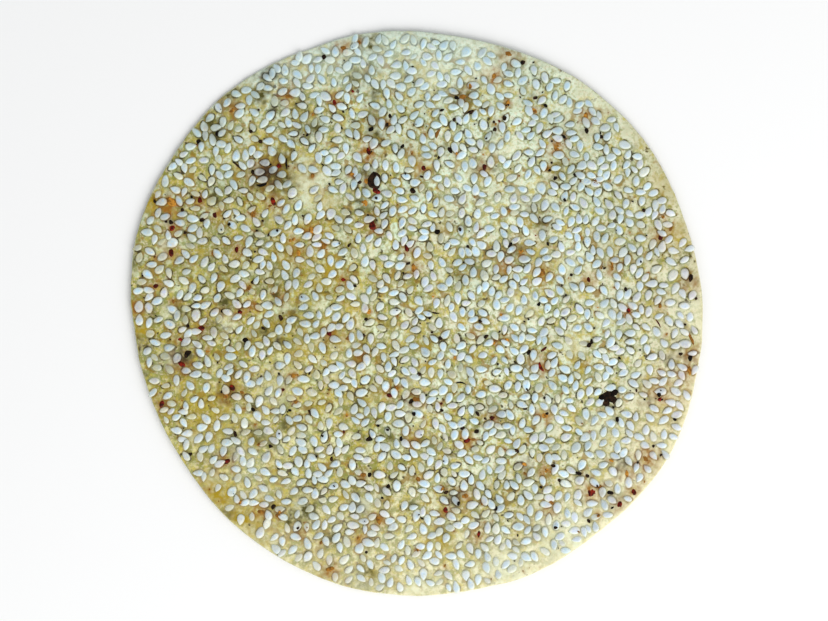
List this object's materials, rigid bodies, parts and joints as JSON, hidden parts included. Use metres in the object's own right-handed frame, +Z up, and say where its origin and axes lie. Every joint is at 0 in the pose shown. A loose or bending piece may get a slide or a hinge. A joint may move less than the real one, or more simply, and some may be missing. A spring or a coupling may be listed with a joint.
{
  "type": "sesame papad",
  "caption": "Thin round sheet of dried papad dough, pressed full of sesame seeds with flecks of chilli and pepper, lying flat with a softly lifted rim.",
  "frame": {"origin": "middle of the bounding box at the underside, on the surface that the sheet lies on", "axes": "+Z up through the sheet's thickness, with the seeded side up; +X to the right and +Y away as the sheet is seen from above"},
  "size_m": [0.1506, 0.149, 0.0028],
  "materials": {
    "dough": "matte",
    "sesame_seed": "satin",
    "red_chilli": "satin",
    "orange_spice": "matte",
    "black_pepper": "matte"
  },
  "bodies": {
    "root": {"papad": "dough"}
  },
  "joints": []
}
